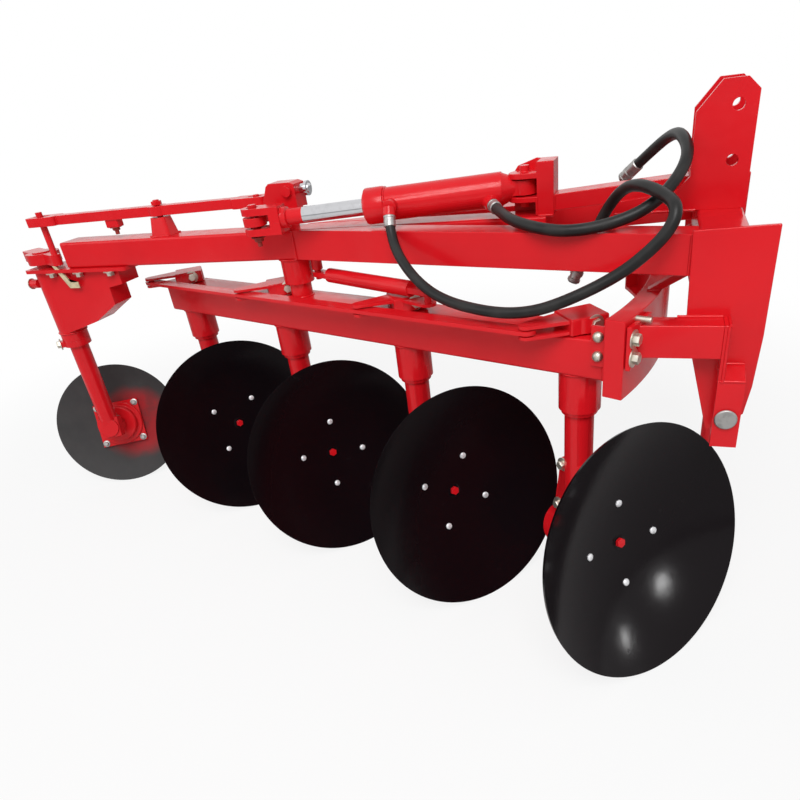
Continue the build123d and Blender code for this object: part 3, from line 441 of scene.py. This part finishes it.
# metres
pivotNut = {"above": 1.1535, "lowered": 0.0115}


def lowerPivotNut(work):
    # the nut of the rocker's pivot sits down on the bar
    for vert in work.verts:
        if vert.co.z > pivotNut["above"]:
            vert.co.z -= pivotNut["lowered"]


# merge distance in metres, the largest bend between faces that become one, and the sharpest smooth edge
copying = {"merge": 1e-6, "flat": 0.6, "crease": 34}


def dress(node, slot, body):
    # a merged copy of the piece, with soft edges in place of the sharp ones
    mesh = frame["nodes"][node].data.copy()
    mesh.name = node + "_shown"
    work = bmesh.new()
    work.from_mesh(mesh)
    bmesh.ops.remove_doubles(work, verts=work.verts, dist=copying["merge"])
    bmesh.ops.dissolve_limit(
        work, angle_limit=np.radians(copying["flat"]), verts=work.verts, edges=work.edges)
    mesh.materials.clear()
    mesh.materials.append(nodeFinish[slot])
    if node == "cylinder_rod":
        paintRodEnd(work, mesh)
    if node.startswith("hub_"):
        sinkHubNut(work, int(node[-1]) - 1)
    if node == "rocker_post":
        lowerPivotNut(work)
    work.to_mesh(mesh)
    work.free()
    mesh.shade_smooth()
    mesh.set_sharp_from_angle(angle=np.radians(copying["crease"]))
    copy = bpy.data.objects.new(node + "_shown", mesh)
    bpy.context.collection.objects.link(copy)
    soften(copy, next(width for key, width in edgeWidth.items() if node.startswith(key)))
    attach(copy, body)
    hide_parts(node)


bodies = frame["record"]["behaviour"]["bodies"]
bodyOf = {node: body for body, nodes in bodies.items() for node in nodes}
for entry in frame["record"]["subparts"]:
    if not entry["node"].startswith(("hose_", "coupler_")):
        dress(entry["node"], entry["material_slot"], bodyOf[entry["node"]])
print("pieces dressed")

# Discs: four domed bolts, the cap over the hub's end, and the nut
sideways = aimed(discs["azimuth"] + 90)
upward = np.cross(discAxis, sideways)
boltLevel = discs["sphere"] - discs["dish"] - np.sqrt(discs["sphere"] ** 2 - discs["boltCircle"] ** 2)
boltWide, boltRise = discs["boltRadius"], discs["boltRise"]
domeForm = [
    (-1, boltWide), (boltRise * 0.5, boltWide), (boltRise * 0.85, boltWide * 0.8), (boltRise, boltWide * 0.4),
]
capForm = [(-3, discs["spigot"]), (0.5, discs["spigot"]), (0.8, discs["spigot"] - 0.8)]
nutForm = [
    (-1, discs["nutRadius"]), (discs["nutHeight"] - 2, discs["nutRadius"]),
    (discs["nutHeight"], discs["nutRadius"] - 2),
]
for number in range(4):
    body = f"disc_body_{number + 1}"
    heads = []
    for angle in discs["boltTurns"][number] + np.arange(0, 360, 90):
        spoke = np.cos(np.radians(angle)) * sideways + np.sin(np.radians(angle)) * upward
        slope = unit(discAxis - spoke * discs["boltCircle"] / discs["sphere"])
        foot = rimMiddle(number) + boltLevel * discAxis + discs["boltCircle"] * spoke
        heads.append(turned(domeForm, foot, slope, 20))
    makePiece(f"discBolts{number + 1}", joined(heads), brightZinc, body)
    bottom = rimMiddle(number) - discs["dish"] * discAxis
    makePiece(f"discCap{number + 1}", turned(capForm, bottom, discAxis, 40), black, body)
    makePiece(f"discNut{number + 1}", turned(nutForm, bottom, discAxis, 6, 20), red, body, 0.6)
print("disc bolts placed")

# The two hoses of the cylinder, on the routes that the part's own source gives
hoses = {
    "hose_a": {
        "coupler": "coupler_a", "length": 1.409, "body": "barrel_body",
        "route": [
            (397, -140, 1100), (403, -168, 1042), (479, -250, 971), (568, -290, 916), (719, -377, 910),
            (817, -385, 912), (907, -385, 942), (1011, -370, 991), (1078, -365, 1047), (1110, -360, 1089),
            (1115, -345, 1121), (1096, -300, 1135), (1041, -230, 1151), (999, -160, 1136),
            (960, -125, 1085), (925, -120, 1010), (895, -125, 940),
        ],
    },
    "hose_b": {
        "coupler": "coupler_b", "length": 0.999, "body": "barrel_body",
        "route": [
            (668, -78, 1100), (700, -135, 1092), (745, -205, 1083), (821, -266, 1074), (892, -284, 1068),
            (979, -278, 1078), (1060, -254, 1104), (1112, -200, 1150), (1135, -140, 1195),
            (1118, -60, 1228), (1095, 20, 1222), (1050, 90, 1180), (1000, 130, 1130),
        ],
    },
}
hoseDiameter = 27
# profiles from the hose's first point on, and about its last point
ferruleForm = [(-3, 15.2), (0, 16.6), (5, 16.6), (6, 15.6), (12, 15.6), (13, 16.4), (27, 16.4), (29, 14.6)]
endForm = [
    (-30, 14.6), (-28, 16.6), (0, 16.6), (0.5, 15), (4, 15), (5, 17), (15, 17), (16, 14.5), (24, 14.5),
    (25, 16.5), (32, 16.5), (35, 13), (36, 12.8), (36, 8), (26, 7.5),
]
for name, hose in hoses.items():
    route = np.array(hose["route"], float)
    curve = bpy.data.curves.new(name + "_rubber", "CURVE")
    curve.dimensions = "3D"
    spline = curve.splines.new("NURBS")
    spline.points.add(len(route) - 1)
    spline.points.foreach_set("co", np.column_stack([metres(route), np.ones(len(route))]).ravel())
    spline.order_u = 3
    spline.use_endpoint_u = True
    curve.bevel_depth = hoseDiameter / 2000
    curve.bevel_resolution = 6
    curve.resolution_u = 14
    curve.use_fill_caps = True
    curve.materials.append(rubber)
    line = bpy.data.objects.new(name + "_rubber", curve)
    bpy.context.collection.objects.link(line)
    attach(line, hose["body"])
    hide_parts(name)
    start, goal = unit(route[1] - route[0]), unit(route[-1] - route[-2])
    ferrule = makePiece(name + "Ferrule", turned(ferruleForm, route[0], start, 28), steel, hose["body"])
    ending = makePiece(name + "Coupler", turned(endForm, route[-1], goal, 28), steel, hose["body"])
    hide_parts(hose["coupler"])
print("hoses laid")

# Cylinder: gland collar, rear neck, jam nut, the bolt that keeps the pin in, and the pin of the head
makePiece("glandCollar", turned(cylinder["gland"], rodEnd, rodAxis, 48), red, "barrel_body")
makePiece("glandLip", turned(cylinder["glandLip"], rodEnd, rodAxis, 40), steel, "barrel_body")
pinToPin = float(np.linalg.norm(np.array(cylinder["rear"]) - rodEnd))
neck = [(pinToPin - back, radius) for back, radius in cylinder["neck"]]
makePiece("barrelNeck", turned(neck, rodEnd, rodAxis, 40), red, "barrel_body")
makePiece("jamNut", turned(cylinder["jamNut"], rodEnd, rodAxis, 6, 15), red, "rod_body", 1.0)
makePiece("jamRing", turned(cylinder["jamRing"], rodEnd, rodAxis, 32), red, "rod_body", 0.8)
pinFoot, down = rodEnd - (0, 0, cylinder["pinDown"]), (0, 0, -1)
pinTail = turned(cylinder["pinTail"], pinFoot, down, 16)
makePiece("pinNut", joined([hexHead(pinFoot, down, 24, 12), pinTail]), rust, "swing_beam")
makePiece("headPin", turned(cylinder["headPin"], cylinder["headPinFoot"], (1, 0, 0), 32), chrome, "swing_beam")
print("cylinder finished")


def box(low, high, turnAngle=0.0, foot=(0, 0, 0)):
    # an upright box between two corners, turned about the upright line through foot
    low, high = np.asarray(low, float), np.asarray(high, float)
    outline = np.array([(low[0], low[1]), (high[0], low[1]), (high[0], high[1]), (low[0], high[1])])
    c, s = np.cos(np.radians(turnAngle)), np.sin(np.radians(turnAngle))
    flat = outline @ np.array([[c, s], [-s, c]]) + np.asarray(foot, float)[:2]
    corners = np.column_stack([flat, np.full(4, low[2])])
    return block(corners, high[2] - low[2], (0, 0, 1))


# Legs: a clamp block on each crank with its bolt, and two bolts in the foot
crank = {
    "angle": -145, "long": 49, "wide": 46, "low": 849, "high": 889.5,
    "boltAlong": -12, "boltHeight": 871, "flats": 24,
}
footBolts = {"along": (-28, -44), "heights": (463, 326), "out": 29, "flats": 22, "azimuth": -130}
for number, station in enumerate(stations, 1):
    column = station * aimed(discs["beamAngle"])
    low = (-crank["long"], -crank["wide"], crank["low"])
    high = (crank["long"], crank["wide"], crank["high"])
    clamp = box(low, high, crank["angle"], column)
    makePiece(f"crankClamp{number}", clamp, red, f"leg_body_{number}", 4)
    along, outwards = aimed(crank["angle"]), aimed(crank["angle"] + 90)
    foot = column + crank["boltAlong"] * along + crank["wide"] * outwards + (0, 0, crank["boltHeight"])
    heads = [hexHead(foot, outwards, crank["flats"], 13, 10)]
    side = aimed(footBolts["azimuth"])
    for shift, height in zip(footBolts["along"], footBolts["heights"]):
        foot = column + shift * aimed(discs["azimuth"]) + footBolts["out"] * side + (0, 0, height)
        heads.append(hexHead(foot, side, footBolts["flats"], 13, 20))
    makePiece(f"legBolts{number}", joined(heads), zinc, f"leg_body_{number}")
print("legs finished")

# Front end of the disc beam: stop plate with two round-headed bolts
stop = {
    "outline": ((1030, 786), (1066, 786), (1066, 884), (1030, 884)), "side": 59, "thickness": 9,
    "boltStation": 1048, "boltHeights": (860, 813), "boltForm": [(-1, 13), (3, 13), (7, 11.5), (11, 8), (13, 3)],
}
beamLine, beamRight = aimed(discs["beamAngle"]), aimed(discs["beamAngle"] - 90)
outline = [station * beamLine + stop["side"] * beamRight + (0, 0, height) for station, height in stop["outline"]]
makePiece("stopPlate", block(outline, stop["thickness"], beamRight), red, "swing_beam", 2)
plateFace = stop["boltStation"] * beamLine + (stop["side"] + stop["thickness"]) * beamRight
stops = [turned(stop["boltForm"], plateFace + (0, 0, height), beamRight, 24) for height in stop["boltHeights"]]
makePiece("stopBolts", joined(stops), zinc, "swing_beam")

# Guide bars: two bolts and a stud in each flange
flange = {
    "angle": 19.3, "front": 1132, "edge": 56, "heights": (866, 823), "flats": 24, "headHeight": 13,
    "studSide": 18, "studHeight": 899, "studBack": 14, "pitch": 2.0, "threads": 19,
}
threads = [(flange["pitch"] * k, 6.6 + 0.7 * (k % 2)) for k in range(flange["threads"])]
for side, hand in ((-1, "Right"), (1, "Left")):
    outwards, across = aimed(side * flange["angle"]), aimed(side * flange["angle"] + 90)
    face = flange["front"] * outwards + side * flange["edge"] * across
    heads = [
        hexHead(face + (0, 0, height), outwards, flange["flats"], flange["headHeight"], 8)
        for height in flange["heights"]
    ]
    studFoot = (flange["front"] - flange["studBack"]) * outwards + side * flange["studSide"] * across
    stud = turned(threads, studFoot + (0, 0, flange["studHeight"]), outwards, 16)
    makePiece(f"flangeBolts{hand}", joined(heads + [stud]), zinc, "frame")
print("guide finished")

# Furrow wheel's housing: nuts under the top plate, rear lug, strip, and the collar's bolt
housing = {
    "nutPlaces": (-985, -858, -716), "nutSide": 55, "nutHeight": 960,
    "lugFoot": (-1102, -28, 915), "lugForm": [(0, 16), (34, 16), (36, 14)],
    "strip": [(-966, 985), (-948, 985), (-906, 925), (-872, 925), (-872, 904), (-918, 904)], "stripSide": -58,
    "steerPlace": (-1058, 0, 678), "collarAngle": -136, "collarOut": 44,
    "collarLug": ((-17, -11), (17, -11), (17, 11), (-17, 11)), "collarDeep": 16,
}
nuts = [
    hexHead((place, side, housing["nutHeight"]), down, 24, 14, 12)
    for side in (-housing["nutSide"], housing["nutSide"]) for place in housing["nutPlaces"]
]
makePiece("housingNuts", joined(nuts), zinc, "frame")
backwards = np.array((-1, 0, 0))
makePiece("rearLug", turned(housing["lugForm"], housing["lugFoot"], backwards, 28), red, "frame", 1)
lugEnd = np.array(housing["lugFoot"]) + housing["lugForm"][1][0] * backwards
makePiece("rearLugNut", hexHead(lugEnd, backwards, 22, 10), zinc, "frame")
strip = [(along, housing["stripSide"], height) for along, height in housing["strip"]]
makePiece("zincStrip", block(strip, 4, (0, -1, 0)), yellowZinc, "frame", 0.8)
collarOut, collarSide = aimed(housing["collarAngle"]), aimed(housing["collarAngle"] + 90)
collarFace = np.array(housing["steerPlace"]) + housing["collarOut"] * collarOut
collarCorners = [collarFace + across * collarSide + (0, 0, height) for across, height in housing["collarLug"]]
collarLug = block(collarCorners, housing["collarDeep"], collarOut)
makePiece("collarLug", collarLug, red, "wheel_head", 2)
collarBolt = hexHead(collarFace + housing["collarDeep"] * collarOut, collarOut, 24, 13)
makePiece("collarBolt", collarBolt, zinc, "wheel_head")
print("housing finished")

# Rocker bar: lug under the bar with its worn stop bolt
rocker = {
    "post": (-476, 0, 0), "frontPin": (-119.0, 39.8, 0), "lugBack": 182,
    "lugLow": (-24, -16, 1098), "lugHigh": (24, 16, 1124), "boltTail": [(0, 7), (24, 7), (25, 6)],
}
rockerBack = -unit(np.array(rocker["frontPin"]) - rocker["post"])
lugFoot = np.array(rocker["post"]) + rocker["lugBack"] * rockerBack
rockerTurn = np.degrees(np.arctan2(rockerBack[1], rockerBack[0]))
rockerLug = box(rocker["lugLow"], rocker["lugHigh"], rockerTurn, lugFoot)
makePiece("rockerLug", rockerLug, red, "rocker_body", 3)
boltFoot = lugFoot + (0, 0, rocker["lugLow"][2] + 1)
stopBolt = [hexHead(boltFoot, down, 22, 10), turned(rocker["boltTail"], boltFoot, down, 16)]
makePiece("rockerStop", joined(stopBolt), rust, "rocker_body")

# Furrow wheel: round flange and drum on the plate, bolts at its corners, clamp block on the stub
wheel = {
    "azimuth": -57.4, "tilt": 18, "diameter": 522, "offset": 130, "dish": 34, "plate": 24, "steer": (-1058, 0),
    "drum": [(-1, 95), (9, 95), (11, 93), (11, 80), (14, 77), (40, 76), (44, 72), (44, 40)], "boltOut": 80,
    "clampFrom": -30, "clampLong": 64, "clampSide": 40, "clampUp": 42, "clampBolts": (-24, 24),
}
wheelAxis, wheelSide = aimed(wheel["azimuth"], wheel["tilt"]), aimed(wheel["azimuth"] + 90)
wheelUp = np.cross(wheelAxis, wheelSide)
tilt = np.radians(wheel["tilt"])
stubHeight = wheel["diameter"] / 2 * np.cos(tilt) + wheel["offset"] * np.sin(tilt)
stubMiddle = np.array((*wheel["steer"], stubHeight))
plateTop = stubMiddle + (wheel["plate"] - wheel["dish"] - wheel["offset"]) * wheelAxis
makePiece("hubDrum", turned(wheel["drum"], plateTop, wheelAxis, 56), red, "wheel_body", 1)
hubBolts = [
    hexHead(plateTop + wheel["boltOut"] * (a * wheelSide + b * wheelUp), wheelAxis, 16, 10, 15)
    for a, b in ((1, 1), (1, -1), (-1, 1), (-1, -1))
]
makePiece("hubBolts", joined(hubBolts), steel, "wheel_body")
stubFoot = stubMiddle + wheel["clampFrom"] * wheelAxis
toSide, toTop = wheel["clampSide"] * wheelSide, wheel["clampUp"] * wheelUp
clampCorners = [
    stubFoot - toSide - toTop, stubFoot + toSide - toTop, stubFoot + toSide + toTop, stubFoot - toSide + toTop,
]
makePiece("stubClamp", block(clampCorners, wheel["clampLong"], wheelAxis), red, "wheel_head", 3)
clampTop = stubFoot + (wheel["clampLong"] + wheel["clampFrom"]) * wheelAxis + toTop
clampBolts = [hexHead(clampTop + shift * wheelSide, wheelUp, 20, 10) for shift in wheel["clampBolts"]]
makePiece("stubBolts", joined(clampBolts), rust, "wheel_head")
print("wheel finished")

# Cylinder's rear bracket: the plate behind it
bracketPlate = [
    (700, 42, 1060), (778, 42, 1060), (778, 42, 1190), (762, 42, 1192), (712, 42, 1176), (700, 42, 1160),
]
makePiece("bracketPlate", block(bracketPlate, 12, (0, 1, 0)), red, "frame", 2)

# Weld beads, by the body that carries them: paths, and rings of (middle, axis, radius, width)
up = (0, 0, 1)
beadWidth = 3.4
welds = {
    "frame": [
        [(1150, -327, 974), (1150, -327, 1058)], [(1150, 327, 974), (1150, 327, 1058)],
        [(1240, -344, 888), (1240, -402, 888)], [(1238, -403, 886), (1238, -403, 758)],
        [(1232, -344, 779), (1284, -344, 779)], [(1232, -402, 761), (1284, -402, 761)],
        [(1135, -343, 888), (1228, -343, 888)], [(1135, -343, 811), (1228, -343, 811)],
        [(1240, 344, 888), (1240, 402, 888)], [(1238, 403, 886), (1238, 403, 758)],
        [(1232, 344, 779), (1284, 344, 779)], [(1135, 343, 888), (1228, 343, 888)],
        [(-1040, -45, 959), (-694, -45, 959)], [(-1040, 45, 959), (-694, 45, 959)],
        [(780, -43, 1061), (818, -43, 1061)], [(776, -42, 1062), (776, -42, 1105)],
        [(974, -79, 1061), (1160, -79, 1061)], [(974, 79, 1061), (1160, 79, 1061)],
        [(820, -36, 1072), (820, -36, 1108)], [(1141, -36, 1094), (1141, -36, 1130)],
        [(-514, -31, 1061), (-438, -31, 1061)], [(-514, 31, 1061), (-438, 31, 1061)],
        [(1166, -215, 971), (1206, -215, 971)], [(1096, -216, 909), (1066, -216, 909)],
        [(35, -51, 1058), (35, -51, 974)], [(35, 51, 1058), (35, 51, 974)],
    ],
    "swing_beam": [
        [(-60, -33, 1120), (60, -33, 1120)], [(-60, 33, 1120), (60, 33, 1120)],
        [1059 * beamLine + 60 * beamRight + (0, 0, height) for height in (750, 784)],
    ],
}
rings = {
    "frame": [((0, 0, 970), up, 50, beadWidth), ((-1058, 0, 722), up, 51, 3.0)],
    "swing_beam": [
        *((station * beamLine + (0, 0, 746), up, 54.5, beadWidth) for station in stations),
        ((0, 0, 848), up, 36.5, 3.2),
    ],
    "barrel_body": [(rodEnd + 400 * rodAxis, rodAxis, 44.5, 2.4)],
}
for body in ("frame", "swing_beam", "barrel_body"):
    straight = [beadPath(path, beadWidth) for path in welds.get(body, [])]
    circled = [beadRing(*ring) for ring in rings[body]]
    makePiece(f"welds_{body}", joined(straight + circled), red, body, 0, 60)
print("welds laid")

# Floor: half its width, and the distances and shares at which it turns pure white, in metres
ground = {"half": 40.0, "near": 1.6, "far": 3.4, "whiteShare": 0.84}
floorCorners = [(ground["half"] * a, ground["half"] * b, 0) for a, b in ((-1, -1), (1, -1), (1, 1), (-1, 1))]
floorMesh = bpy.data.meshes.new("floor")
floorMesh.from_pydata(floorCorners, [], [(0, 1, 2, 3)])
floor = bpy.data.objects.new("floor", floorMesh)
bpy.context.collection.objects.link(floor)


def paleFloor():
    # white to the camera apart from the shadow near the plough, and a plain pale floor to other rays
    finish = Finish("paleFloor", "")
    tree = finish.tree
    seen = finish.node("ShaderNodeLightPath", output="Is Camera Ray")
    away = finish.band(finish.reach((0, 0, 0)), ground["near"], ground["far"])
    share = seen * (ground["whiteShare"] + (1 - ground["whiteShare"]) * away)
    glow = finish.node("ShaderNodeEmission", None, {"Color": (1, 1, 1, 1), "Strength": 1.0})
    finish.done(Base_Color=(0.80, 0.80, 0.80, 1), Roughness=0.9, Specular_IOR_Level=0.1)
    mix = tree.nodes.new("ShaderNodeMixShader")
    tree.links.new(share.socket, mix.inputs[0])
    tree.links.new(finish.shader.outputs[0], mix.inputs[1])
    tree.links.new(glow.socket, mix.inputs[2])
    tree.links.new(mix.outputs[0], tree.nodes["Material Output"].inputs["Surface"])
    return finish.material


floorMesh.materials.append(paleFloor())

# World: plain white to the camera and to reflections, dimmer as a light
world = bpy.data.worlds.new("studio")
bpy.context.scene.world = world
world.use_nodes = True
sky = world.node_tree
around = sky.nodes["Background"]
around.inputs["Color"].default_value = (1, 1, 1, 1)
around.inputs["Strength"].default_value = 0.42
backdrop = sky.nodes.new("ShaderNodeBackground")
backdrop.inputs["Color"].default_value = (1, 1, 1, 1)
backdrop.inputs["Strength"].default_value = 1.0
rays = sky.nodes.new("ShaderNodeLightPath")
either, every = sky.nodes.new("ShaderNodeMath"), sky.nodes.new("ShaderNodeMath")
either.operation = every.operation = "MAXIMUM"
choose = sky.nodes.new("ShaderNodeMixShader")
sky.links.new(rays.outputs["Is Camera Ray"], either.inputs[0])
sky.links.new(rays.outputs["Is Glossy Ray"], either.inputs[1])
sky.links.new(either.outputs[0], every.inputs[0])
sky.links.new(rays.outputs["Is Transmission Ray"], every.inputs[1])
sky.links.new(every.outputs[0], choose.inputs[0])
sky.links.new(around.outputs[0], choose.inputs[1])
sky.links.new(backdrop.outputs[0], choose.inputs[2])
sky.links.new(choose.outputs[0], sky.nodes["World Output"].inputs["Surface"])

# Lamps: the two low ones stand for the bright lights that show in the discs, and light nothing else
discsOnly = bpy.data.collections.new("discsOnly")
for each in bpy.context.collection.objects:
    if each.name.startswith("disc_"):
        discsOnly.objects.link(each)
lamps = {
    "keyLight": {"from": (1.2, -3.2, 4.4), "size": 2.4, "power": 165},
    "fillLight": {"from": (-3.5, -2.5, 3.0), "size": 3.5, "power": 40},
    "lowWindow": {"from": (5.6, -1.9, 1.0), "size": 0.42, "power": 36},
    "lowStrip": {"from": (6.0, 0.2, 0.95), "size": 0.25, "power": 16},
}
lampAim = Vector((0, 0, 0.5))
for name, lamp in lamps.items():
    light = bpy.data.lights.new(name, "AREA")
    light.size = lamp["size"]
    light.energy = lamp["power"]
    holder = bpy.data.objects.new(name, light)
    holder.location = lamp["from"]
    holder.rotation_euler = (lampAim - Vector(lamp["from"])).to_track_quat("-Z", "Y").to_euler()
    bpy.context.collection.objects.link(holder)
    if name.startswith("low"):
        holder.light_linking.receiver_collection = discsOnly

# Camera: solved from the four equal discs
view = {
    "place": (1088.98, -1829.08, 1400.59),
    "right": (0.93748, 0.32812, -0.11607), "up": (-0.07350, 0.51262, 0.85546),
    "back": (0.34020, -0.79344, 0.50468), "lens": 28.804, "shift": (-0.0143, 0.0757),
}
cameraData = bpy.data.cameras.new("photoView")
cameraData.sensor_width = 36
cameraData.lens = view["lens"]
cameraData.shift_x, cameraData.shift_y = view["shift"]
cameraData.clip_end = 60
camera = bpy.data.objects.new("photoView", cameraData)
turn = Matrix((view["right"], view["up"], view["back"])).transposed()
camera.matrix_world = Matrix.Translation(Vector(metres(view["place"]))) @ turn.to_4x4()
bpy.context.collection.objects.link(camera)
bpy.context.scene.camera = camera
bpy.context.scene.view_settings.view_transform = "Standard"
